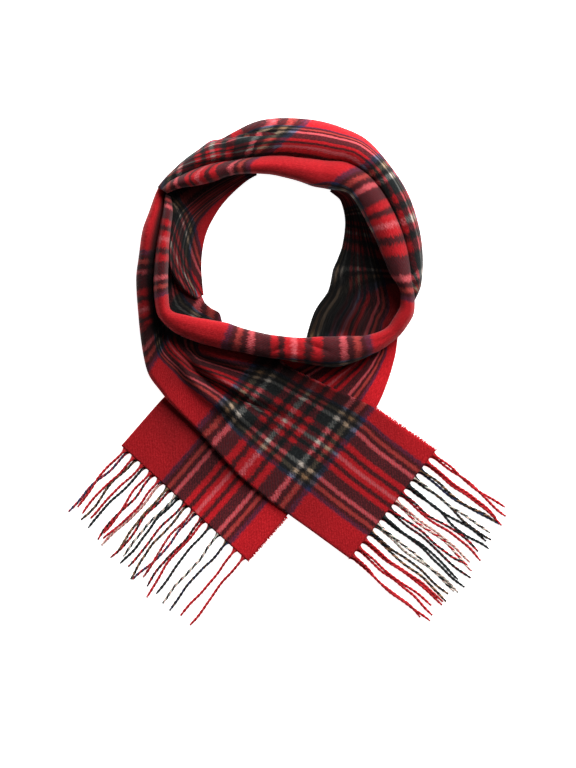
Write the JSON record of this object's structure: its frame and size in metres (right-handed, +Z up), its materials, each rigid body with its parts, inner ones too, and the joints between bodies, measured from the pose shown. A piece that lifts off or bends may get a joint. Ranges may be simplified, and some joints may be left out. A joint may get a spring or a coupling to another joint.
{
  "type": "wound tartan scarf",
  "caption": "Fringed tartan neck scarf, doubled lengthwise, wound once round a neck hole with crossed ends, lying flat.",
  "frame": {"origin": "on the surface that the scarf lies on, below the middle of its bounding box", "axes": "+Z up from the surface, +Y from the crossed ends towards the top of the neck loop, +X towards the end that crosses over"},
  "size_m": [0.3901, 0.4531, 0.0378],
  "materials": {
    "red_cloth": "matt, brushed twill",
    "shaded_cloth": "matt, brushed twill",
    "charcoal_cloth": "matt, brushed twill",
    "fringe_yarn": "matt, twisted yarn"
  },
  "bodies": {
    "root": {"panel_left": "red_cloth", "panel_right": "red_cloth", "inner_right": "charcoal_cloth", "inner_left": "shaded_cloth", "inner_left_lower": "charcoal_cloth", "band_right": "red_cloth", "band_top": "red_cloth", "fold_left": "red_cloth", "front_band": "red_cloth", "hidden_layers": "charcoal_cloth", "fringe_left": "fringe_yarn", "fringe_right": "fringe_yarn"}
  },
  "joints": []
}
